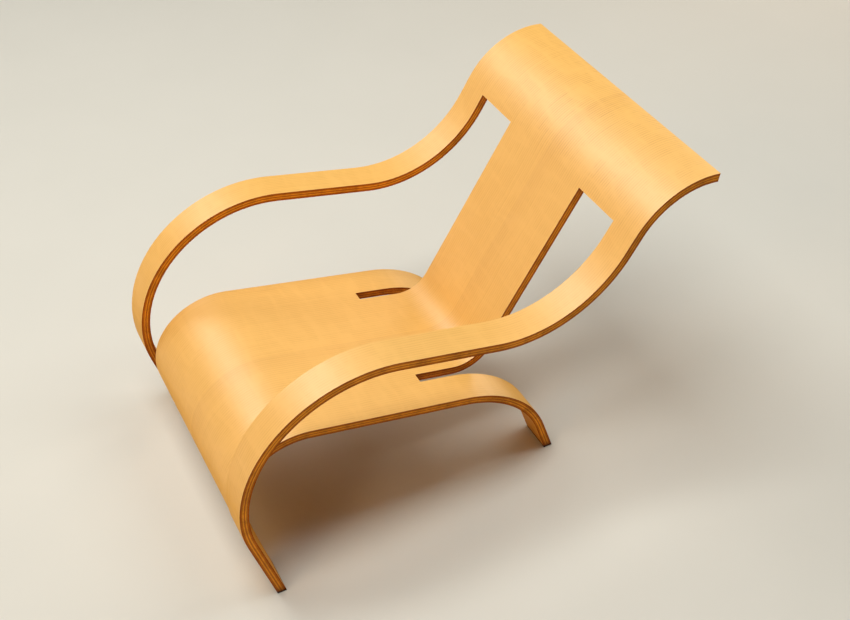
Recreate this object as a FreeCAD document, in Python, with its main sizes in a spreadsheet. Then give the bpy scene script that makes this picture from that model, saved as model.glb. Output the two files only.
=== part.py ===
import FreeCAD, Part
import Sketcher
import math
import os

# Easy chair cut and bent from one laminated sheet.
# Seven plies lie face to face. Grain runs along the sheet in plies 1, 3, 5 and 7, each laid as a left
# and a right leaf that meet on the centre line, and across it in plies 2, 4 and 6.
# The sheet stands on the front legs as one wide panel. Slots part it there into two outer strips, which
# roll back as the arms, and a middle that rolls tighter and becomes the seat. At the rear of the seat
# two more slots free the rear legs, which bend down, from the centre strip, which bends up as the back.
# Arms and back run together again below the head roll, beside two open windows.
# Frame: X across the chair, -Y is where it faces, Z up, origin on the floor in the middle of its box.

doc = FreeCAD.newDocument("bent_sheet_chair")
sheet = doc.addObject("Spreadsheet::Sheet", "sizes")

# Driving sizes in millimetres and degrees
DRIVING = [
    ("overall_width", 600, "over both arms"),
    ("arm_width", 64, "one arm strip"),
    ("slot_width", 22, "the cut between two strips"),
    ("centre_width", 248, "the back"),
    ("ply_thickness", 2.5, "one of seven plies"),
    ("leg_lean_angle", 15.5, "front panel from the vertical, its top forward"),
    ("seat_fall_angle", 11.5, "seat and arms below the horizontal, towards the rear"),
    ("back_rise_angle", 60, "back above the horizontal"),
    ("rear_leg_rake_angle", 19.5, "rear legs from the vertical, their feet rearward"),
    ("head_fall_angle", 8, "head end below the horizontal"),
    ("side_slot_start", 128, "up the panel to the side slots"),
    ("seat_roll_start", 138, "up the panel to the seat's roll"),
    ("seat_roll_radius", 135, "face of the seat's front roll"),
    ("seat_run", 261, "straight seat, from its roll to the rear slots"),
    ("arm_roll_start", 166, "up the panel to the arm's roll"),
    ("arm_roll_radius", 260, "face of the arm's roll"),
    ("arm_run", 199, "straight arm rest"),
    ("arm_sweep_radius", 230, "face of the arm's upward sweep"),
    ("window_margin", 32, "from the sweep up to the windows' head"),
    ("head_run", 42, "from the sweep up to the head roll"),
    ("head_roll_radius", 165, "face of the head roll"),
    ("rear_leg_lead", 67, "from the rear slots' front end to the rear leg's bend"),
    ("rear_leg_radius", 250, "face of the rear leg's bend"),
    ("back_bend_radius", 65, "face of the bend from seat to back"),
    ("foot_width", 72, "one front foot"),
    ("arch_height", 60, "cut-out between the front feet"),
    ("arch_corner", 48, "its rounded upper corners"),
    ("floor_allowance", 12, "length left below the floor, then trimmed"),
]

# Sizes worked out from them: half widths, headings along the sheet and the stations of each strip
# A heading is the direction of travel up the panel and along a strip, 0 rearward and 90 upward.
# Rolls turn rearward and down, sweeps turn up, and each station is where a straight meets an arc.
# The trimming sizes only have to reach past the sheet.
DERIVED = [
    ("sheet_half", "overall_width / 2"),
    ("arm_inner", "sheet_half - arm_width"),
    ("seat_half", "arm_inner - slot_width"),
    ("back_half", "centre_width / 2"),
    ("leg_inner", "back_half + slot_width"),
    ("arch_half", "sheet_half - foot_width"),
    ("panel_dir", "90 + leg_lean_angle"),
    ("fall_dir", "-seat_fall_angle"),
    ("rise_dir", "back_rise_angle"),
    ("head_dir", "-head_fall_angle"),
    ("rear_dir", "rear_leg_rake_angle - 90"),
    ("side_slot_y", "side_slot_start * cos(panel_dir)"),
    ("side_slot_z", "side_slot_start * sin(panel_dir)"),
    ("toe_y", "-floor_allowance * cos(panel_dir)"),
    ("toe_z", "-floor_allowance * sin(panel_dir)"),
    ("arm_roll_y", "arm_roll_start * cos(panel_dir)"),
    ("arm_roll_z", "arm_roll_start * sin(panel_dir)"),
    ("arm_rest_y", "arm_roll_y + arm_roll_radius * (sin(panel_dir) - sin(fall_dir))"),
    ("arm_rest_z", "arm_roll_z + arm_roll_radius * (cos(fall_dir) - cos(panel_dir))"),
    ("sweep_y", "arm_rest_y + arm_run * cos(fall_dir)"),
    ("sweep_z", "arm_rest_z + arm_run * sin(fall_dir)"),
    ("head_line_y", "sweep_y + arm_sweep_radius * (sin(rise_dir) - sin(fall_dir))"),
    ("head_line_z", "sweep_z + arm_sweep_radius * (cos(fall_dir) - cos(rise_dir))"),
    ("window_y", "head_line_y + window_margin * cos(rise_dir)"),
    ("window_z", "head_line_z + window_margin * sin(rise_dir)"),
    ("head_roll_y", "head_line_y + head_run * cos(rise_dir)"),
    ("head_roll_z", "head_line_z + head_run * sin(rise_dir)"),
    ("head_end_y", "head_roll_y + head_roll_radius * (sin(rise_dir) - sin(head_dir))"),
    ("head_end_z", "head_roll_z + head_roll_radius * (cos(head_dir) - cos(rise_dir))"),
    ("seat_roll_y", "seat_roll_start * cos(panel_dir)"),
    ("seat_roll_z", "seat_roll_start * sin(panel_dir)"),
    ("seat_front_y", "seat_roll_y + seat_roll_radius * (sin(panel_dir) - sin(fall_dir))"),
    ("seat_front_z", "seat_roll_z + seat_roll_radius * (cos(fall_dir) - cos(panel_dir))"),
    ("rear_slot_y", "seat_front_y + seat_run * cos(fall_dir)"),
    ("rear_slot_z", "seat_front_z + seat_run * sin(fall_dir)"),
    ("leg_bend_y", "rear_slot_y + rear_leg_lead * cos(fall_dir)"),
    ("leg_bend_z", "rear_slot_z + rear_leg_lead * sin(fall_dir)"),
    ("shank_y", "leg_bend_y + rear_leg_radius * (sin(fall_dir) - sin(rear_dir))"),
    ("shank_z", "leg_bend_z + rear_leg_radius * (cos(rear_dir) - cos(fall_dir))"),
    ("shank_run", "(shank_z + floor_allowance) / -sin(rear_dir)"),
    ("heel_y", "shank_y + shank_run * cos(rear_dir)"),
    ("heel_z", "-floor_allowance"),
    ("nook_reach", "((head_line_y - rear_slot_y) * sin(rise_dir) - (head_line_z - rear_slot_z)"
                   " * cos(rise_dir)) / sin(rise_dir - fall_dir)"),
    ("nook_tangent", "back_bend_radius * tan((rise_dir - fall_dir) / 2)"),
    ("nook_y", "rear_slot_y + (nook_reach - nook_tangent) * cos(fall_dir)"),
    ("nook_z", "rear_slot_z + (nook_reach - nook_tangent) * sin(fall_dir)"),
    ("back_y", "nook_y + back_bend_radius * (sin(rise_dir) - sin(fall_dir))"),
    ("back_z", "nook_z + back_bend_radius * (cos(fall_dir) - cos(rise_dir))"),
    ("front_y", "arm_roll_y + arm_roll_radius * (sin(panel_dir) - 1)"),
    ("datum_y", "-(front_y + head_end_y) / 2"),
    ("trim_span", "overall_width + 2 * arm_width"),
    ("trim_depth", "4 * floor_allowance"),
]

# Heading of the sheet at each station
HEADING = {
    "toe": "panel_dir", "side_slot": "panel_dir", "arm_roll": "panel_dir", "seat_roll": "panel_dir",
    "arm_rest": "fall_dir", "sweep": "fall_dir", "seat_front": "fall_dir", "rear_slot": "fall_dir",
    "leg_bend": "fall_dir", "nook": "fall_dir", "shank": "rear_dir", "heel": "rear_dir",
    "back": "rise_dir", "head_line": "rise_dir", "window": "rise_dir", "head_roll": "rise_dir",
    "head_end": "head_dir",
}

# Strips on the left half of the sheet: stations, the bend after each of them, inner and outer edge
ROLL = -1
SWEEP = 1
STRIPS = {
    "panel": (["toe", "side_slot"], [None], None, "sheet_half"),
    "arm": (["side_slot", "arm_roll", "arm_rest", "sweep", "head_line", "window"],
            [None, (ROLL, "arm_roll_radius"), None, (SWEEP, "arm_sweep_radius"), None],
            "arm_inner", "sheet_half"),
    "seat": (["side_slot", "seat_roll", "seat_front", "rear_slot"],
             [None, (ROLL, "seat_roll_radius"), None], None, "seat_half"),
    "rear_leg": (["rear_slot", "leg_bend", "shank", "heel"],
                 [None, (ROLL, "rear_leg_radius"), None], "leg_inner", "seat_half"),
    "back": (["rear_slot", "nook", "back", "window"],
             [None, (SWEEP, "back_bend_radius"), None], None, "back_half"),
    "head": (["window", "head_roll", "head_end"],
             [None, (ROLL, "head_roll_radius")], None, "sheet_half"),
}

# The lay-up from the face that the sitter touches: name, and whether its grain runs along the sheet
LAY_UP = [
    ("face_leaf", True),
    ("crossband_upper", False),
    ("inner_leaf_upper", True),
    ("crossband_middle", False),
    ("inner_leaf_lower", True),
    ("crossband_lower", False),
    ("back_leaf", True),
]

SIDE_PLANE = FreeCAD.Rotation(FreeCAD.Vector(1, 1, 1), 120)
FRONT_PLANE = FreeCAD.Rotation(FreeCAD.Vector(1, 0, 0), 90)


def fill_sheet():
    """Writes every size with its alias, the driving ones as numbers and the others as formulas."""
    row = 1
    for alias, value, note in DRIVING:
        sheet.set(f"A{row}", alias)
        sheet.set(f"B{row}", str(value))
        sheet.set(f"C{row}", note)
        sheet.setAlias(f"B{row}", alias)
        row += 1
    for alias, formula in DERIVED:
        sheet.set(f"A{row}", alias)
        sheet.set(f"B{row}", "=" + formula)
        sheet.setAlias(f"B{row}", alias)
        row += 1
    doc.recompute()


def size(alias):
    """Value of a cell as a plain number."""
    return float(sheet.get(alias))


def station(name, depth):
    """A station's point at a depth under the face, in plies: numbers first, then their expressions."""
    turn = HEADING[name]
    below = depth * size("ply_thickness")
    angle = math.radians(size(turn))
    y = size(name + "_y") + below * math.sin(angle)
    z = size(name + "_z") - below * math.cos(angle)
    y_text = f"sizes.{name}_y + {depth} * sizes.ply_thickness * sin(sizes.{turn})"
    z_text = f"sizes.{name}_z - {depth} * sizes.ply_thickness * cos(sizes.{turn})"
    return FreeCAD.Vector(y, z, 0), y_text, z_text


def bend_radius(bend, depth):
    """Radius of a bend at a depth: a roll tightens under its face and a sweep opens."""
    sense, alias = bend
    value = size(alias) + sense * depth * size("ply_thickness")
    sign = "+" if sense == SWEEP else "-"
    return value, f"sizes.{alias} {sign} {depth} * sizes.ply_thickness"


def arc_between(start, end, radius, sense):
    """Arc under half a turn from start to end, clockwise where it rolls."""
    chord = end - start
    middle = (start + end) * 0.5
    side = FreeCAD.Vector(-chord.y, chord.x, 0).normalize() * sense
    centre = middle + side * math.sqrt(radius ** 2 - (chord.Length / 2) ** 2)
    circle = Part.Circle(centre, FreeCAD.Vector(0, 0, 1), radius)
    first, last = (start, end) if sense == SWEEP else (end, start)
    angle_first = math.atan2(first.y - centre.y, first.x - centre.x)
    angle_last = math.atan2(last.y - centre.y, last.x - centre.x)
    return Part.ArcOfCircle(circle, angle_first, angle_last)


def bind(sketch, kind, *place, value, text):
    """Adds a driving constraint and ties it to the sizes."""
    index = sketch.addConstraint(Sketcher.Constraint(kind, *place, value))
    sketch.setExpression(f"Constraints[{index}]", text)


def close_outline(sketch, corners, edges):
    """Draws a closed outline from corner to corner and holds every corner by its coordinates.

    Each corner is a point with two expressions. Each edge is None for a straight line, or an arc's
    radius, its expression and its sense.
    """
    ends = []
    for k, edge in enumerate(edges):
        start = corners[k][0]
        end = corners[(k + 1) % len(corners)][0]
        if edge is None:
            geometry = sketch.addGeometry(Part.LineSegment(start, end), False)
            ends.append((geometry, 1, 2))
        else:
            radius, text, sense = edge
            geometry = sketch.addGeometry(arc_between(start, end, radius, sense), False)
            ends.append((geometry, 1, 2) if sense == SWEEP else (geometry, 2, 1))
    for k, (point, y_text, z_text) in enumerate(corners):
        geometry, first, last = ends[k]
        before = ends[k - 1]
        sketch.addConstraint(Sketcher.Constraint("Coincident", before[0], before[2], geometry, first))
        bind(sketch, "DistanceX", -1, 1, geometry, first, value=point.x, text=y_text)
        bind(sketch, "DistanceY", -1, 1, geometry, first, value=point.y, text=z_text)
    for (geometry, first, last), edge in zip(ends, edges):
        if edge is not None:
            bind(sketch, "Radius", geometry, value=edge[0], text=edge[1])


def strip_section(name, strip, depth):
    """Side outline of one strip in one ply: its upper side forward, then its lower side back."""
    stations, bends = STRIPS[strip][:2]
    under = depth + 1
    sketch = doc.addObject("Sketcher::SketchObject", f"{name}_{strip}_section")
    sketch.Placement = FreeCAD.Placement(FreeCAD.Vector(0, 0, 0), SIDE_PLANE)
    sketch.setExpression("Placement.Base.y", "sizes.datum_y")
    corners = [station(place, depth) for place in stations]
    corners += [station(place, under) for place in reversed(stations)]
    edges = []
    for bend in bends:
        edges.append(None if bend is None else (*bend_radius(bend, depth), bend[0]))
    edges.append(None)
    for bend in reversed(bends):
        edges.append(None if bend is None else (*bend_radius(bend, under), -bend[0]))
    edges.append(None)
    close_outline(sketch, corners, edges)
    return sketch


def strip_solid(name, strip, depth):
    """One strip of one ply, from its inner to its outer edge on the left half."""
    inner, outer = STRIPS[strip][2:]
    solid = doc.addObject("Part::Extrusion", f"{name}_{strip}")
    solid.Base = strip_section(name, strip, depth)
    solid.DirMode = "Custom"
    solid.Dir = FreeCAD.Vector(1, 0, 0)
    solid.Solid = True
    if inner is None:
        solid.setExpression("LengthFwd", f"sizes.{outer}")
    else:
        solid.setExpression("LengthFwd", f"sizes.{outer} - sizes.{inner}")
        solid.setExpression("Placement.Base.x", f"sizes.{inner}")
    return solid


def below_floor():
    """Block that trims the feet level with the floor."""
    block = doc.addObject("Part::Box", "below_floor")
    block.setExpression("Length", "sizes.trim_span")
    block.setExpression("Width", "2 * sizes.head_end_y")
    block.setExpression("Height", "sizes.trim_depth")
    block.setExpression("Placement.Base.x", "-sizes.trim_span / 2")
    block.setExpression("Placement.Base.y", "-sizes.head_end_y")
    block.setExpression("Placement.Base.z", "-sizes.trim_depth")
    return block


def foot_arch():
    """Cut-out between the front feet, square to the leaning panel, with rounded upper corners."""
    sketch = doc.addObject("Sketcher::SketchObject", "foot_arch_outline")
    sketch.Placement = FreeCAD.Placement(FreeCAD.Vector(0, 0, 0), FRONT_PLANE)
    sketch.setExpression("Placement.Base.y", "sizes.datum_y")
    half = size("arch_half")
    top = size("arch_height")
    corner = size("arch_corner")
    low = -size("trim_depth")
    places = [
        (half, low, "sizes.arch_half", "-sizes.trim_depth"),
        (half, top - corner, "sizes.arch_half", "sizes.arch_height - sizes.arch_corner"),
        (half - corner, top, "sizes.arch_half - sizes.arch_corner", "sizes.arch_height"),
        (corner - half, top, "sizes.arch_corner - sizes.arch_half", "sizes.arch_height"),
        (-half, top - corner, "-sizes.arch_half", "sizes.arch_height - sizes.arch_corner"),
        (-half, low, "-sizes.arch_half", "-sizes.trim_depth"),
    ]
    corners = [(FreeCAD.Vector(x, z, 0), x_text, z_text) for x, z, x_text, z_text in places]
    rounded = (corner, "sizes.arch_corner", SWEEP)
    close_outline(sketch, corners, [None, rounded, None, rounded, None, None])
    cutter = doc.addObject("Part::Extrusion", "foot_arch")
    cutter.Base = sketch
    cutter.DirMode = "Custom"
    cutter.setExpression("Dir.y", "cos(sizes.leg_lean_angle)")
    cutter.setExpression("Dir.z", "sin(sizes.leg_lean_angle)")
    cutter.Solid = True
    cutter.Symmetric = True
    cutter.setExpression("LengthFwd", "2 * sizes.arch_height")
    return cutter


def joined(name, parts):
    """Fuses parts into one shape without the seams between them."""
    union = doc.addObject("Part::MultiFuse", name)
    union.Shapes = parts
    union.Refine = True
    return union


def left_half(name, depth, trim):
    """Left half of one ply: its six strips in one piece, trimmed at the feet."""
    strips = [strip_solid(name, strip, depth) for strip in STRIPS]
    cut = doc.addObject("Part::Cut", f"{name}_left_half")
    cut.Base = joined(f"{name}_left_strips", strips)
    cut.Tool = trim
    cut.Refine = True
    return cut


def right_half(name, half):
    """The same half on the other side of the centre line."""
    mirror = doc.addObject("Part::Mirroring", f"{name}_right_half")
    mirror.Source = half
    mirror.Base = FreeCAD.Vector(0, 0, 0)
    mirror.Normal = FreeCAD.Vector(1, 0, 0)
    return mirror


def lay_plies(trim):
    """Builds every ply and returns the labelled pieces."""
    pieces = []
    for depth, (name, along) in enumerate(LAY_UP):
        left = left_half(name, depth, trim)
        right = right_half(name, left)
        if along:
            left.Label = name + "_left"
            right.Label = name + "_right"
            pieces += [left, right]
        else:
            whole = joined(name + "_whole", [left, right])
            whole.Label = name
            pieces.append(whole)
    return pieces


def check(pieces):
    """Stops with a message where an object failed or a piece isn't one sound solid."""
    for item in doc.Objects:
        if "Invalid" in item.State or "Error" in item.State:
            raise RuntimeError(f"{item.Label} failed: {item.State}")
    for piece in pieces:
        shape = piece.Shape
        if shape.isNull() or not shape.isValid() or len(shape.Solids) != 1:
            raise RuntimeError(f"{piece.Label} isn't one sound solid")


def write(pieces):
    """Writes each piece to its own file and prints its volume."""
    os.makedirs("parts", exist_ok=True)
    for piece in pieces:
        piece.Shape.exportStep(f"parts/{piece.Label}.step")
        print(f"{piece.Label}: {piece.Shape.Volume / 1000:.1f} cubic centimetres")


fill_sheet()
trimming = doc.addObject("Part::MultiFuse", "trimming")
trimming.Shapes = [below_floor(), foot_arch()]
plies = lay_plies(trimming)
doc.recompute()
check(plies)
write(plies)
whole_chair = Part.makeCompound([ply.Shape for ply in plies])
box = whole_chair.BoundBox
print(f"chair {box.XLength:.1f} x {box.YLength:.1f} x {box.ZLength:.1f}, lowest point {box.ZMin:.3f}")
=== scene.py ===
"""Easy chair bent from one laminated birch sheet: finishes, floor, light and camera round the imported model."""

import logging
import math
from dataclasses import dataclass, field
from enum import Enum

import bpy
from mathutils import Matrix, Vector

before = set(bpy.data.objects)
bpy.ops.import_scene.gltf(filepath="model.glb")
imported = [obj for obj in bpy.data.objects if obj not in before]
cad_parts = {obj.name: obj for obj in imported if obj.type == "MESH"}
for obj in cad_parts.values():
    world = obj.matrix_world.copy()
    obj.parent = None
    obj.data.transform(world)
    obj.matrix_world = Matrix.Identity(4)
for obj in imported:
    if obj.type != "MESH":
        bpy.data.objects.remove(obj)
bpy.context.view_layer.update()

LOG = logging.getLogger("easy_chair")
MM = 0.001
CHAIR_MIDDLE = Vector((0.0, 0.0, 0.3))
Source = bpy.types.Node | bpy.types.NodeSocket


class Cut(Enum):
    """How a veneer shows on a cut side of the sheet."""

    LONG_GRAIN = "long grain"
    END_GRAIN = "end grain"
    ARRIS = "long grain at the sheet's edge, darkened by hands"


def linear(colour: str) -> tuple[float, float, float, float]:
    """Turns an sRGB hex colour into the linear colour that a shader takes.

    Args:
        colour: Six hex digits after a hash sign.

    Returns:
        Red, green and blue from 0 to 1, and an alpha of 1.
    """
    parts = [int(colour[k:k + 2], 16) / 255 for k in (1, 3, 5)]
    values = [p / 12.92 if p <= 0.04045 else ((p + 0.055) / 1.055) ** 2.4 for p in parts]
    return values[0], values[1], values[2], 1.0


def add(tree: bpy.types.NodeTree, kind: str, inputs: dict | None = None, **settings: object) -> bpy.types.Node:
    """Adds a node with its settings and links.

    Args:
        tree: The node tree that gets the node.
        kind: The node's type, without the ShaderNode in front.
        inputs: Socket name or number, to a value, an output socket, or a node whose first output feeds it.
            Sockets that the settings switch off don't count.
        **settings: The node's own properties.

    Returns:
        The new node.
    """
    node = tree.nodes.new("ShaderNode" + kind)
    for name, value in settings.items():
        setattr(node, name, value)
    for key, value in (inputs or {}).items():
        named = [socket for socket in node.inputs if socket.enabled and socket.name == key]
        socket = named[0] if named else node.inputs[key]
        if isinstance(value, bpy.types.Node):
            value = next(output for output in value.outputs if output.enabled)
        if isinstance(value, bpy.types.NodeSocket):
            tree.links.new(value, socket)
        else:
            socket.default_value = value
    return node


@dataclass(frozen=True)
class Span:
    """A level that runs evenly from one value to another over a stretch, and is steady before and after it.

    Attributes:
        start: Where the stretch starts.
        end: Where it ends.
        first: The level up to its start.
        last: The level from its end on.
    """

    start: float
    end: float
    first: float
    last: float

    def over(self, reading: Source) -> dict[str, object]:
        """Writes the stretch as the inputs of a range node.

        Args:
            reading: What the level follows.

        Returns:
            The inputs by name.
        """
        return {"Value": reading, "From Min": self.start, "From Max": self.end,
                "To Min": self.first, "To Max": self.last}


@dataclass(frozen=True)
class EndCut:
    """A narrow cut face that crosses the sheet's length, found by its plane.

    Attributes:
        point: A point on the cut, in metres, in the chair's frame (across, back, up).
        turn: The cut's outward direction in degrees, 0 to the rear and 90 up.
        reach: How near the plane a point counts as on the cut, in metres.
        squareness: How squarely a face must look that way, 1 being exactly.
    """

    point: tuple[float, float, float]
    turn: float
    reach: float = 0.6 * MM
    squareness: float = 0.97

    def direction(self) -> Vector:
        """The cut's outward normal."""
        return Vector((0.0, math.cos(math.radians(self.turn)), math.sin(math.radians(self.turn))))

    def mask(self, tree: bpy.types.NodeTree, place: Source, normal: Source) -> Source:
        """Adds a mask that is 1 on this cut.

        Args:
            tree: The node tree that gets the nodes.
            place: The point in the chair's frame.
            normal: The face's true normal.

        Returns:
            The mask.
        """
        way = self.direction()
        along = add(tree, "VectorMath", {0: place, 1: way}, operation="DOT_PRODUCT")
        off = add(tree, "Math", {0: along, 1: Vector(self.point).dot(way)}, operation="SUBTRACT")
        gap = add(tree, "Math", {0: off}, operation="ABSOLUTE")
        near = add(tree, "Math", {0: gap, 1: self.reach}, operation="LESS_THAN")
        facing = add(tree, "VectorMath", {0: normal, 1: way}, operation="DOT_PRODUCT")
        square = add(tree, "Math", {0: facing, 1: self.squareness}, operation="GREATER_THAN")
        return add(tree, "Math", {0: near, 1: square}, operation="MULTIPLY")


@dataclass(frozen=True)
class SideCurve:
    """The sheet's face seen from the side, as straights and bends, which leads to every cross cut.

    Lengths are in metres along the face and angles in degrees.

    Attributes:
        lean: The front panel from the vertical, its top forward.
        fall: Seat and arms below the horizontal, towards the rear.
        rise: The back above the horizontal.
        head_fall: The head's end below the horizontal.
        side_slot_start: Up the panel to the side slots.
        seat_roll_start: Up the panel to the seat's roll.
        seat_roll_radius: The seat's front roll.
        seat_run: The straight seat, from its roll to the rear slots.
        arm_roll_start: Up the panel to the arm's roll.
        arm_roll_radius: The arm's roll.
        arm_run: The straight arm rest.
        arm_sweep_radius: The arm's upward sweep.
        window_margin: From the sweep up to the windows' head.
        head_run: From the sweep up to the head's roll.
        head_roll_radius: The head's roll.
    """

    lean: float = 15.5
    fall: float = 11.5
    rise: float = 60.0
    head_fall: float = 8.0
    side_slot_start: float = 128 * MM
    seat_roll_start: float = 138 * MM
    seat_roll_radius: float = 135 * MM
    seat_run: float = 261 * MM
    arm_roll_start: float = 166 * MM
    arm_roll_radius: float = 260 * MM
    arm_run: float = 199 * MM
    arm_sweep_radius: float = 230 * MM
    window_margin: float = 32 * MM
    head_run: float = 42 * MM
    head_roll_radius: float = 165 * MM

    def straight(self, start: Vector, heading: float, run: float) -> Vector:
        """Follows a straight.

        Args:
            start: Where it starts.
            heading: Its direction in degrees, 0 to the rear and 90 up.
            run: Its length, in metres.

        Returns:
            Where it ends.
        """
        turn = math.radians(heading)
        return start + run * Vector((0.0, math.cos(turn), math.sin(turn)))

    def bend(self, start: Vector, radius: float, before: float, after: float) -> Vector:
        """Follows a bend.

        Args:
            start: Where it starts.
            radius: Its radius in metres, negative where the sheet rolls over and positive where it sweeps up.
            before: The heading before it, in degrees.
            after: The heading after it, in degrees.

        Returns:
            Where it ends.
        """
        a, b = math.radians(before), math.radians(after)
        return start + radius * Vector((0.0, math.sin(b) - math.sin(a), math.cos(a) - math.cos(b)))

    def cross_cuts(self) -> list[EndCut]:
        """Finds the cuts that cross the sheet: head end, window heads, and the side and rear slots' ends.

        Returns:
            The cuts, in the chair's frame, whose origin lies under the middle of its depth.
        """
        up_panel, down_seat, up_back, down_head = 90 + self.lean, -self.fall, self.rise, -self.head_fall
        toe = Vector((0.0, 0.0, 0.0))
        arm_roll = self.straight(toe, up_panel, self.arm_roll_start)
        arm_rest = self.bend(arm_roll, -self.arm_roll_radius, up_panel, down_seat)
        sweep = self.straight(arm_rest, down_seat, self.arm_run)
        head_line = self.bend(sweep, self.arm_sweep_radius, down_seat, up_back)
        window_head = self.straight(head_line, up_back, self.window_margin)
        head_roll = self.straight(head_line, up_back, self.head_run)
        head_end = self.bend(head_roll, -self.head_roll_radius, up_back, down_head)
        side_slot = self.straight(toe, up_panel, self.side_slot_start)
        seat_roll = self.straight(toe, up_panel, self.seat_roll_start)
        seat = self.bend(seat_roll, -self.seat_roll_radius, up_panel, down_seat)
        rear_slot = self.straight(seat, down_seat, self.seat_run)
        foremost = self.bend(arm_roll, -self.arm_roll_radius, up_panel, 90)
        middle = Vector((0.0, (foremost.y + head_end.y) / 2, 0.0))
        cuts = ((head_end, down_head), (window_head, up_back + 180), (side_slot, up_panel), (rear_slot, down_seat))
        return [EndCut(tuple(point - middle), turn) for point, turn in cuts]


@dataclass(frozen=True)
class BirchGrain:
    """The grain of peeled birch: growth bands, pore lines, a cross ripple and the knife's peeling checks.

    It is faint and even, which makes the face look calm from a step away and alive near by. The sheet is
    bent only about axes that run across it, so a pattern that changes quickly across the chair and slowly
    in the other directions follows every bend. Real pores lie about a tenth of a millimetre apart, too fine
    to show, so they are drawn as coarse as they need to show. Every length is in metres.

    Attributes:
        drift_size: How far apart the grain's slow swings to the side are.
        drift_sway: How far they carry it.
        band_spacing: Across the grain from one growth band to the next.
        band_length: Along the grain, how far a band keeps its tone.
        band_depth: How much the bands darken the face.
        pore_spacing: Across the grain from one pore line to the next.
        pore_length: How long a pore line is.
        pore_lines: From the pore noise to the lines' strength.
        pore_depth: How much they darken the face.
        ripple_width: Across the grain, how wide a ripple is.
        ripple_length: Along the grain from one ripple to the next.
        ripple_depth: How much the ripple darkens the face.
        check_spacing: Across the grain from one peeling check to the next.
        check_sway: How far the bands shift the checks, in radians of their spacing.
        check_lines: From the checks' wave to the lines' strength.
        check_patches: From the ripple to how plainly the checks show.
        check_depth: How much the checks darken the face.
        stretch: From the height to how far the checks open, on the head's roll, where the face is stretched.
        stretch_middle: From the distance to the joint to the share of that opening.
    """

    drift_size: float = 200 * MM
    drift_sway: float = 12 * MM
    band_spacing: float = 5.0 * MM
    band_length: float = 166.7 * MM
    band_depth: float = 0.55
    pore_spacing: float = 1.6 * MM
    pore_length: float = 33.33 * MM
    pore_lines: Span = Span(0.30, 0.46, 1.0, 0.0)
    pore_depth: float = 0.18
    ripple_width: float = 71.43 * MM
    ripple_length: float = 22.22 * MM
    ripple_depth: float = 0.30
    check_spacing: float = 5.5 * MM
    check_sway: float = 5.0
    check_lines: Span = Span(0.55, 1.0, 0.0, 1.0)
    check_patches: Span = Span(0.35, 0.60, 0.1, 1.0)
    check_depth: float = 0.85
    stretch: Span = Span(560 * MM, 630 * MM, 0.0, 0.45)
    stretch_middle: Span = Span(40 * MM, 260 * MM, 1.5, 0.6)

    def draw(self, tree: bpy.types.NodeTree, place: Source) -> tuple[Source, Source]:
        """Adds the grain.

        Args:
            tree: The node tree that gets the nodes.
            place: The point in the chair's frame.

        Returns:
            The grain's depth from 0 to 1, and how far the checks stand open.
        """
        across = add(tree, "SeparateXYZ", {0: place}).outputs[0]
        drift = add(tree, "TexNoise", {"Vector": place, "Scale": 1 / self.drift_size, "Detail": 2.0})
        centred = add(tree, "Math", {0: drift, 1: 0.5}, operation="SUBTRACT")
        wander = add(tree, "Math", {0: centred, 1: self.drift_sway, 2: across}, operation="MULTIPLY_ADD")
        bands = self.bands(tree, place, wander)
        ripple = self.ripple(tree, place)
        checks = self.checks(tree, wander, bands, ripple)
        pores = add(tree, "Math", {0: self.pores(tree, place), 1: self.pore_depth}, operation="MULTIPLY")
        depth = add(tree, "Math", {0: bands, 1: self.band_depth, 2: pores}, operation="MULTIPLY_ADD")
        depth = add(tree, "Math", {0: ripple, 1: self.ripple_depth, 2: depth}, operation="MULTIPLY_ADD")
        depth = add(tree, "Math", {0: checks, 1: self.check_depth, 2: depth}, operation="MULTIPLY_ADD",
                    use_clamp=True)
        return depth, self.opened(tree, place, checks)

    def bands(self, tree: bpy.types.NodeTree, place: Source, wander: Source) -> Source:
        """Adds the growth bands.

        Args:
            tree: The node tree that gets the nodes.
            place: The point in the chair's frame.
            wander: Its distance from the centre line, with the grain's sway.

        Returns:
            The bands from 0 to 1.
        """
        column = add(tree, "Math", {0: wander, 1: self.band_spacing}, operation="DIVIDE")
        pace = (0.0, 1 / self.band_length, 1 / self.band_length)
        slow = add(tree, "VectorMath", {0: place, 1: pace}, operation="MULTIPLY")
        at = add(tree, "VectorMath", {0: add(tree, "CombineXYZ", {0: column}), 1: slow}, operation="ADD")
        return add(tree, "TexNoise", {"Vector": at, "Scale": 1.0, "Detail": 3.0, "Roughness": 0.6})

    def pores(self, tree: bpy.types.NodeTree, place: Source) -> Source:
        """Adds the pore lines.

        Args:
            tree: The node tree that gets the nodes.
            place: The point in the chair's frame.

        Returns:
            The lines from 0 to 1.
        """
        pace = (1 / self.pore_spacing, 1 / self.pore_length, 1 / self.pore_length)
        at = add(tree, "VectorMath", {0: place, 1: pace}, operation="MULTIPLY")
        noise = add(tree, "TexNoise", {"Vector": at, "Scale": 1.0, "Detail": 2.0})
        return add(tree, "MapRange", self.pore_lines.over(noise))

    def ripple(self, tree: bpy.types.NodeTree, place: Source) -> Source:
        """Adds the ripple across the grain.

        Args:
            tree: The node tree that gets the nodes.
            place: The point in the chair's frame.

        Returns:
            The ripple from 0 to 1.
        """
        pace = (1 / self.ripple_width, 1 / self.ripple_length, 1 / self.ripple_length)
        at = add(tree, "VectorMath", {0: place, 1: pace}, operation="MULTIPLY")
        return add(tree, "TexNoise", {"Vector": at, "Scale": 1.0, "Detail": 1.0, "Distortion": 0.6})

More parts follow.
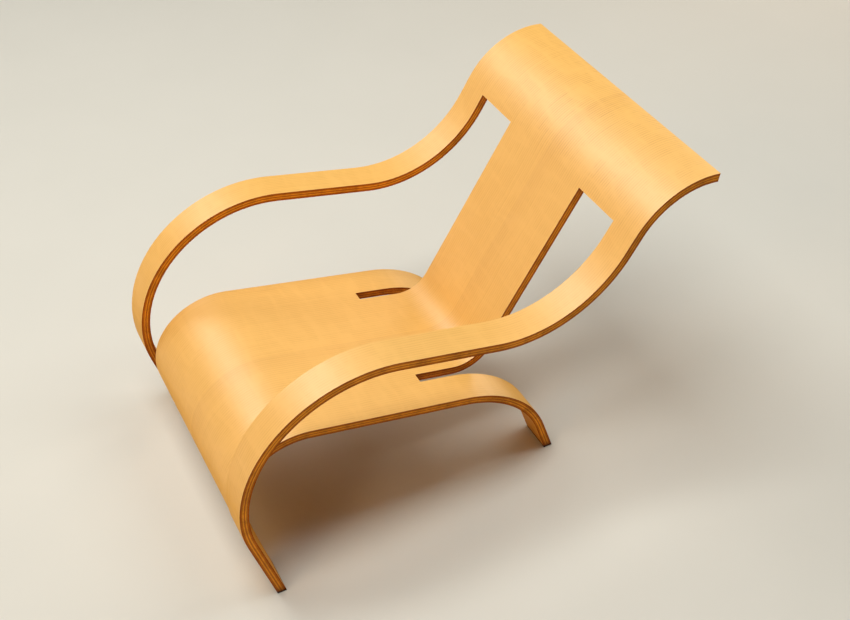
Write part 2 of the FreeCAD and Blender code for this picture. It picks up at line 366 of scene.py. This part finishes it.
    def checks(self, tree: bpy.types.NodeTree, wander: Source, bands: Source, ripple: Source) -> Source:
        """Adds the fine checks that the peeling knife leaves, in patches.

        Args:
            tree: The node tree that gets the nodes.
            wander: The distance from the centre line, with the grain's sway.
            bands: The growth bands, which shift the checks.
            ripple: The ripple, which hides them in places.

        Returns:
            The checks from 0 to 1.
        """
        turns = add(tree, "Math", {0: wander, 1: 2 * math.pi / self.check_spacing}, operation="MULTIPLY")
        swing = add(tree, "Math", {0: bands, 1: self.check_sway, 2: turns}, operation="MULTIPLY_ADD")
        swell = add(tree, "Math", {0: swing}, operation="SINE")
        lines = add(tree, "MapRange", self.check_lines.over(swell))
        patches = add(tree, "MapRange", self.check_patches.over(ripple))
        return add(tree, "Math", {0: lines, 1: patches}, operation="MULTIPLY")

    def opened(self, tree: bpy.types.NodeTree, place: Source, checks: Source) -> Source:
        """Opens the checks over the head's roll, most of all near the joint.

        Args:
            tree: The node tree that gets the nodes.
            place: The point in the chair's frame.
            checks: The checks.

        Returns:
            How far they stand open, from 0 to 1.
        """
        axes = add(tree, "SeparateXYZ", {0: place}).outputs
        stretched = add(tree, "MapRange", self.stretch.over(axes[2]), interpolation_type="SMOOTHSTEP")
        beside = add(tree, "Math", {0: axes[0]}, operation="ABSOLUTE")
        share = add(tree, "MapRange", self.stretch_middle.over(beside))
        opening = add(tree, "Math", {0: stretched, 1: share}, operation="MULTIPLY")
        return add(tree, "Math", {0: checks, 1: opening}, operation="MULTIPLY")


@dataclass(frozen=True)
class RubbedVarnish:
    """Old clear satin varnish, brushed on and rubbed down: one wide soft sheen across each bend.

    Attributes:
        gloss: How much of it stands on the face, from 0 to 1.
        flat_gloss: How much of its mirror is left at a flat angle.
        steep: Up to which angle the mirror stays whole, 0 being straight on and 1 flat.
        flat: From which angle it is all but gone.
        roughness: Of the face.
        grain_roughness: What the deepest grain adds to it.
        cut_roughness: Of the cuts, where the varnish has sunk in.
        cut_gloss: How much of it still stands on the cuts.
        ior: Of the varnish.
        grain_bump: How strongly the grain still shows through it.
        grain_height: The deepest grain, in metres.
    """

    gloss: float = 1.0
    flat_gloss: float = 0.02
    steep: float = 0.3
    flat: float = 0.8
    roughness: float = 0.47
    grain_roughness: float = 0.06
    cut_roughness: float = 0.65
    cut_gloss: float = 0.12
    ior: float = 1.6
    grain_bump: float = 0.35
    grain_height: float = 0.25 * MM

    def lay(self, tree: bpy.types.NodeTree, colour: Source, grain: Source, sunk: Source) -> Source:
        """Adds the shader of varnished wood.

        Args:
            tree: The node tree that gets the nodes.
            colour: The wood's colour under it.
            grain: The grain's depth.
            sunk: 1 on the cuts and 0 on the faces.

        Returns:
            The shader.
        """
        face = add(tree, "Math", {0: grain, 1: self.grain_roughness, 2: self.roughness}, operation="MULTIPLY_ADD")
        drier = self.cut_roughness - self.roughness
        rough = add(tree, "Math", {0: sunk, 1: drier, 2: face}, operation="MULTIPLY_ADD")
        # A rubbed coat scatters at a flat angle and mirrors no more there than straight on.
        angle = add(tree, "LayerWeight", {"Blend": 0.5}).outputs["Facing"]
        mirror = Span(self.steep, self.flat, self.gloss, self.flat_gloss)
        coat = add(tree, "MapRange", mirror.over(angle), interpolation_type="SMOOTHSTEP")
        standing = add(tree, "Math", {0: sunk, 1: self.cut_gloss - 1, 2: 1.0}, operation="MULTIPLY_ADD")
        shine = add(tree, "Math", {0: coat, 1: standing}, operation="MULTIPLY")
        bump = add(tree, "Bump", {"Strength": self.grain_bump, "Distance": self.grain_height, "Height": grain})
        return add(tree, "BsdfPrincipled", {"Base Color": colour, "Roughness": rough, "IOR": self.ior,
                                            "Specular IOR Level": shine, "Normal": bump})


@dataclass(frozen=True)
class SawnEdge:
    """Birch sawn through and varnished: the varnish sinks in and turns it a deep, patchy orange brown, and painted
    shade darkens its tight corners.

    Attributes:
        long_grain: Colour of long grain.
        end_grain: Colour of end grain.
        arris: Colour of the outer veneers' long grain, the darker line along each arris.
        patch: Colour of the darker patches.
        patch_size: How far apart they are, in metres.
        patches: From the patch noise to their strength.
        corner_shade: Colour of the painted shade in tight corners, where other faces stand close.
        corner_reach: How near another face must be for that, in metres.
        corners: From how open the place is to how strong that painted shade is.
    """

    long_grain: str = "#FFAA28"
    end_grain: str = "#D07312"
    arris: str = "#B7600C"
    patch: str = "#7A3604"
    patch_size: float = 28.57 * MM
    patches: Span = Span(0.40, 0.70, 0.0, 0.50)
    corner_shade: str = "#7A2A04"
    corner_reach: float = 30 * MM
    corners: Span = Span(0.45, 0.90, 0.75, 0.0)

    def tone(self, cut: Cut) -> str:
        """The plain colour of a cut."""
        return {Cut.LONG_GRAIN: self.long_grain, Cut.END_GRAIN: self.end_grain, Cut.ARRIS: self.arris}[cut]

    def colour(self, tree: bpy.types.NodeTree, place: Source, cut: Cut) -> Source:
        """Adds the colour of a cut, with painted shade in its tight corners.

        Args:
            tree: The node tree that gets the nodes.
            place: The point in the chair's frame.
            cut: Whether long grain or end grain shows.

        Returns:
            The colour.
        """
        noise = add(tree, "TexNoise", {"Vector": place, "Scale": 1 / self.patch_size, "Detail": 4.0,
                                       "Roughness": 0.65})
        patches = add(tree, "MapRange", self.patches.over(noise))
        colour = add(tree, "Mix", {"Factor": patches, "A": linear(self.tone(cut)), "B": linear(self.patch)},
                     data_type="RGBA")
        # Painted shade: the cut darkens towards a deep red brown where other faces stand close, as in the slots' and
        # windows' corners.
        open_air = add(tree, "AmbientOcclusion", {"Distance": self.corner_reach}, samples=4).outputs["AO"]
        corner_shade = add(tree, "MapRange", self.corners.over(open_air))
        return add(tree, "Mix", {"Factor": corner_shade, "A": colour, "B": linear(self.corner_shade)}, data_type="RGBA")


@dataclass(frozen=True)
class FootDarkening:
    """Darker towards the bottom of the feet: a near-black band along the bottom, and a brown tint that fades above
    it.

    Attributes:
        brown_tint: Colour of the brown tint.
        brown_tint_rise: From the height to its strength.
        rim: Colour of the near-black band along the bottom.
        rim_rise: From the height to its strength.
    """

    brown_tint: str = "#5A2A0A"
    brown_tint_rise: Span = Span(4 * MM, 45 * MM, 0.35, 0.0)
    rim: str = "#1C0D04"
    rim_rise: Span = Span(3 * MM, 8 * MM, 0.92, 0.0)

    def over(self, tree: bpy.types.NodeTree, place: Source, colour: Source) -> Source:
        """Adds the darkening towards the bottom of the feet over a colour.

        Args:
            tree: The node tree that gets the nodes.
            place: The point in the chair's frame.
            colour: The colour so far.

        Returns:
            The colour, darker towards the bottom.
        """
        up = add(tree, "SeparateXYZ", {0: place}).outputs[2]
        for tint, rise in ((self.brown_tint, self.brown_tint_rise), (self.rim, self.rim_rise)):
            darkening_level = add(tree, "MapRange", rise.over(up))
            colour = add(tree, "Mix", {"Factor": darkening_level, "A": colour, "B": linear(tint)}, data_type="RGBA")
        return colour


@dataclass(frozen=True)
class Veneer:
    """Peeled birch veneer, rotary cut and varnished: pale and even wood that old varnish has turned amber.

    Attributes:
        name: The material's name.
        side: What the sheet's long cut sides show of this veneer.
        end: What its cross cuts show.
        face: Colour of the varnished face.
        deep: Colour of the darker bands, pores and checks in it.
        open_check: Colour of the checks where they stand open.
        joint_tint: Colour that the left leaf darkens towards at the joint.
        joint_fade: From the distance to the joint, in metres, to the strength of that.
        side_facing: How squarely a face must look sideways to be a long cut side.
        grain: The wood's grain.
        varnish: What lies on it.
        sawn: The look of its cuts.
        foot_darkening: The darkening towards the bottom of the feet.
    """

    name: str
    side: Cut
    end: Cut
    face: str = "#F1BB62"
    deep: str = "#E1A94D"
    open_check: str = "#C98A3A"
    joint_tint: str = "#B77123"
    joint_fade: Span = Span(0.0, 55 * MM, 0.10, 0.0)
    side_facing: float = 0.7
    grain: BirchGrain = BirchGrain()
    varnish: RubbedVarnish = RubbedVarnish()
    sawn: SawnEdge = SawnEdge()
    foot_darkening: FootDarkening = FootDarkening()

    def make(self, ends: list[EndCut]) -> bpy.types.Material:
        """Builds the material.

        Args:
            ends: The cross cuts that show this veneer's end.

        Returns:
            The material.
        """
        material = bpy.data.materials.new(self.name)
        material.use_nodes = True
        tree = material.node_tree
        tree.nodes.clear()
        place = add(tree, "TexCoord").outputs["Object"]
        normal = add(tree, "NewGeometry").outputs["True Normal"]
        grain, opened = self.grain.draw(tree, place)
        colour = self.face_colour(tree, place, grain, opened)
        side = self.side_mask(tree, normal)
        cross = self.end_mask(tree, place, normal, ends)
        for mask, cut in ((side, self.side), (cross, self.end)):
            sawn = self.sawn.colour(tree, place, cut)
            colour = add(tree, "Mix", {"Factor": mask, "A": colour, "B": sawn}, data_type="RGBA")
        colour = self.foot_darkening.over(tree, place, colour)
        sunk = add(tree, "Math", {0: side, 1: cross}, operation="MAXIMUM")
        add(tree, "OutputMaterial", {"Surface": self.varnish.lay(tree, colour, grain, sunk)})
        return material

    def face_colour(self, tree: bpy.types.NodeTree, place: Source, grain: Source, opened: Source) -> Source:
        """Adds the colour of the face, with its grain and the shade beside the joint.

        Args:
            tree: The node tree that gets the nodes.
            place: The point in the chair's frame.
            grain: The grain's depth.
            opened: How far the checks stand open.

        Returns:
            The colour.
        """
        across = add(tree, "SeparateXYZ", {0: place}).outputs[0]
        colour = add(tree, "Mix", {"Factor": grain, "A": linear(self.face), "B": linear(self.deep)}, data_type="RGBA")
        colour = add(tree, "Mix", {"Factor": opened, "A": colour, "B": linear(self.open_check)}, data_type="RGBA")
        near = add(tree, "MapRange", self.joint_fade.over(across), interpolation_type="SMOOTHSTEP")
        left = add(tree, "Math", {0: across, 1: 0.0}, operation="GREATER_THAN")
        shade = add(tree, "Math", {0: near, 1: left}, operation="MULTIPLY")
        return add(tree, "Mix", {"Factor": shade, "A": colour, "B": linear(self.joint_tint)}, data_type="RGBA")

    def side_mask(self, tree: bpy.types.NodeTree, normal: Source) -> Source:
        """Adds a mask that is 1 on the long cut sides.

        Args:
            tree: The node tree that gets the nodes.
            normal: The face's true normal.

        Returns:
            The mask.
        """
        sideways = add(tree, "Math", {0: add(tree, "SeparateXYZ", {0: normal}).outputs[0]}, operation="ABSOLUTE")
        return add(tree, "Math", {0: sideways, 1: self.side_facing}, operation="GREATER_THAN")

    def end_mask(self, tree: bpy.types.NodeTree, place: Source, normal: Source, ends: list[EndCut]) -> Source:
        """Adds a mask that is 1 on every cross cut.

        Args:
            tree: The node tree that gets the nodes.
            place: The point in the chair's frame.
            normal: The face's true normal.
            ends: The cross cuts.

        Returns:
            The mask.
        """
        first, *others = (end.mask(tree, place, normal) for end in ends)
        for other in others:
            first = add(tree, "Math", {0: first, 1: other}, operation="MAXIMUM")
        return first


@dataclass
class BentSheet:
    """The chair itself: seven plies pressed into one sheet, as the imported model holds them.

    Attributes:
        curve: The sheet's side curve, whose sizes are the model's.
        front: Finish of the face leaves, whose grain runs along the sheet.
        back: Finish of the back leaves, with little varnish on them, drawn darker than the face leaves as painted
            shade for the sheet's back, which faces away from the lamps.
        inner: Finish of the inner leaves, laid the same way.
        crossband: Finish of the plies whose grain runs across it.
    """

    curve: SideCurve = SideCurve()
    front: Veneer = Veneer("birch_face_leaf_varnished", Cut.ARRIS, Cut.END_GRAIN)
    # Painted shade: the back leaves' colours are darker than the face leaves', for the sheet's back, which faces away
    # from the lamps.
    back: Veneer = Veneer("birch_back_leaf_thinly_varnished_painted_shade", Cut.ARRIS, Cut.END_GRAIN,
                          face="#E4A445", deep="#D59235", varnish=RubbedVarnish(gloss=0.35))
    inner: Veneer = Veneer("birch_inner_leaf_varnished", Cut.LONG_GRAIN, Cut.END_GRAIN)
    crossband: Veneer = Veneer("birch_crossband_varnished", Cut.END_GRAIN, Cut.LONG_GRAIN)

    def dress(self) -> list[str]:
        """Gives each ply its finish, which the first word of its name tells.

        Returns:
            The names of the plies.
        """
        veneers = {"face": self.front, "back": self.back, "inner": self.inner, "crossband": self.crossband}
        ends = self.curve.cross_cuts()
        finishes = {word: veneer.make(ends) for word, veneer in veneers.items()}
        for name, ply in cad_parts.items():
            if not ply.material_slots:
                raise RuntimeError(f"{name} has no material slot")
            for slot in ply.material_slots:
                slot.material = finishes[name.split("_")[0]]
        return sorted(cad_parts)


@dataclass(frozen=True)
class FloorPaint:
    """Matt floor paint, rolled on: pale, without gloss, with a faint uneven tone.

    Attributes:
        name: The material's name.
        pale: Colour of most of it.
        dull: Colour that it is uneven towards.
        patch_size: How far apart the duller patches are, in metres.
        patches: From the patch noise to their strength.
        roughness: Of the paint.
        gloss: Its specular level.
    """

    name: str = "floor_paint_rolled"
    pale: str = "#D5D2C5"
    dull: str = "#C3C1B4"
    patch_size: float = 333.3 * MM
    patches: Span = Span(0.3, 0.7, 0.0, 0.12)
    roughness: float = 0.85
    gloss: float = 0.2

    def make(self) -> bpy.types.Material:
        """Builds the material.

        Returns:
            The material.
        """
        material = bpy.data.materials.new(self.name)
        material.use_nodes = True
        tree = material.node_tree
        tree.nodes.clear()
        place = add(tree, "TexCoord").outputs["Object"]
        noise = add(tree, "TexNoise", {"Vector": place, "Scale": 1 / self.patch_size, "Detail": 5.0})
        patches = add(tree, "MapRange", self.patches.over(noise))
        colour = add(tree, "Mix", {"Factor": patches, "A": linear(self.pale), "B": linear(self.dull)},
                     data_type="RGBA")
        shader = add(tree, "BsdfPrincipled", {"Base Color": colour, "Roughness": self.roughness,
                                              "Specular IOR Level": self.gloss})
        add(tree, "OutputMaterial", {"Surface": shader})
        return material


@dataclass(frozen=True)
class StudioFloor:
    """The round floor that the chair stands on.

    Attributes:
        paint: Its finish.
        reach: From the chair to the walls, in metres.
        corners: How many corners stand for its round edge.
    """

    paint: FloorPaint = FloorPaint()
    reach: float = 5.0
    corners: int = 96

    def build(self) -> bpy.types.Object:
        """Builds the floor under the chair.

        Returns:
            The floor.
        """
        mesh = bpy.data.meshes.new("floor")
        turns = [2 * math.pi * k / self.corners for k in range(self.corners)]
        rim = [(self.reach * math.cos(turn), self.reach * math.sin(turn), 0.0) for turn in turns]
        mesh.from_pydata(rim, [], [tuple(range(self.corners))])
        mesh.materials.append(self.paint.make())
        floor = bpy.data.objects.new("floor", mesh)
        bpy.context.scene.collection.objects.link(floor)
        return floor


def outward(turn: float, rise: float) -> Vector:
    """Finds a direction from the chair.

    Args:
        turn: In degrees, 0 in front and 90 at the sitter's left.
        rise: In degrees above the horizontal.

    Returns:
        The direction, of length 1.
    """
    level, height = math.radians(turn), math.radians(rise)
    return Vector((math.sin(level) * math.cos(height), -math.cos(level) * math.cos(height), math.sin(height)))


@dataclass(frozen=True)
class SoftBox:
    """A square studio lamp.

    Attributes:
        name: The lamp's name.
        turn: Its direction from the chair in degrees, 0 in front and 90 at the sitter's left.
        rise: Its height in degrees, seen from the chair.
        side: Its width, in metres.
        watts: Its power.
        distance: How far it is from the chair, in metres.
        colour: The colour of its light.
    """

    name: str
    turn: float
    rise: float
    side: float
    watts: float
    distance: float = 4.5
    colour: str = "#FFFFFF"

    def build(self) -> bpy.types.Object:
        """Builds the lamp, turned to the chair.

        Returns:
            The lamp.
        """
        light = bpy.data.lights.new(self.name, "AREA")
        light.shape = "SQUARE"
        light.size = self.side
        light.energy = self.watts
        light.color = linear(self.colour)[:3]
        lamp = bpy.data.objects.new(self.name, light)
        way = outward(self.turn, self.rise)
        lamp.location = CHAIR_MIDDLE + self.distance * way
        lamp.rotation_euler = (-way).to_track_quat("-Z", "Y").to_euler()
        bpy.context.scene.collection.objects.link(lamp)
        return lamp


@dataclass
class Studio:
    """The plain studio round the chair: floor, soft lamps and pale surroundings.

    Attributes:
        floor: The floor.
        lamps: The soft lamps.
        walls: Colour of the pale walls round the floor.
        glow: From the height of a direction, 0 level and 1 straight up, to how bright the surroundings are,
            from the walls to the dim ceiling.
    """

    floor: StudioFloor = StudioFloor()
    lamps: list[SoftBox] = field(default_factory=lambda: [
        SoftBox("key", 300, 46, 1.8, 54.0),
        SoftBox("overhead", 0, 73, 2.6, 169.0, colour="#F5FAFF"),
        SoftBox("rear", 175, 58, 2.2, 60.0),
        SoftBox("backdrop", 212, 10, 1.8, 46.0, colour="#FFE8D4"),
        SoftBox("fill", 20, 27, 2.7, 82.0, distance=6.0, colour="#FFCA92"),
    ])
    walls: str = "#E6E0D6"
    glow: Span = Span(0.10, 0.30, 0.40, 0.004)

    def build(self) -> None:
        """Builds the floor, the lamps and the surroundings."""
        self.floor.build()
        for lamp in self.lamps:
            lamp.build()
        world = bpy.data.worlds.new("surroundings")
        world.use_nodes = True
        tree = world.node_tree
        tree.nodes.clear()
        height = add(tree, "SeparateXYZ", {0: add(tree, "TexCoord").outputs["Generated"]}).outputs[2]
        level = add(tree, "MapRange", self.glow.over(height), interpolation_type="SMOOTHSTEP")
        light = add(tree, "Background", {"Color": linear(self.walls), "Strength": level})
        add(tree, "OutputWorld", {"Surface": light})
        bpy.context.scene.world = world


@dataclass(frozen=True)
class PhotoCamera:
    """The camera as the photograph had it.

    Attributes:
        place: Where it stands, in metres.
        turn: Its direction from the chair in degrees, 0 in front.
        rise: Its height in degrees, seen from the chair.
        roll: How far it leans, in degrees.
        pixels: Focal length in the photograph's pixels.
        width: Width of the photograph in pixels.
        sensor: Width of the sensor in millimetres.
    """

    place: tuple[float, float, float] = (1.62001, -0.82521, 1.91225)
    turn: float = 61.72
    rise: float = 41.52
    roll: float = 0.98
    pixels: float = 1226.42
    width: int = 850
    sensor: float = 36.0

    def build(self) -> bpy.types.Object:
        """Builds the camera and makes it the scene's.

        Returns:
            The camera.
        """
        turn, roll = math.radians(self.turn), math.radians(self.roll)
        back = outward(self.turn, self.rise)
        level_right = Vector((math.cos(turn), math.sin(turn), 0.0))
        level_up = back.cross(level_right)
        right = math.cos(roll) * level_right + math.sin(roll) * level_up
        up = back.cross(right)
        optics = bpy.data.cameras.new("photo_camera")
        optics.sensor_fit = "HORIZONTAL"
        optics.sensor_width = self.sensor
        optics.lens = self.pixels * self.sensor / self.width
        camera = bpy.data.objects.new("photo_camera", optics)
        axes = Matrix((right, up, back)).transposed().to_4x4()
        camera.matrix_world = Matrix.Translation(Vector(self.place)) @ axes
        bpy.context.scene.collection.objects.link(camera)
        bpy.context.scene.camera = camera
        return camera


def main() -> None:
    """Dresses the chair, builds the studio and the camera, and reports each piece."""
    for name in BentSheet().dress():
        LOG.info("dressed %s", name)
    Studio().build()
    LOG.info("built the studio")
    PhotoCamera().build()
    LOG.info("built the camera")
    bpy.context.scene.view_settings.view_transform = "Standard"


if __name__ == "__main__":
    logging.basicConfig(level=logging.INFO)
    main()
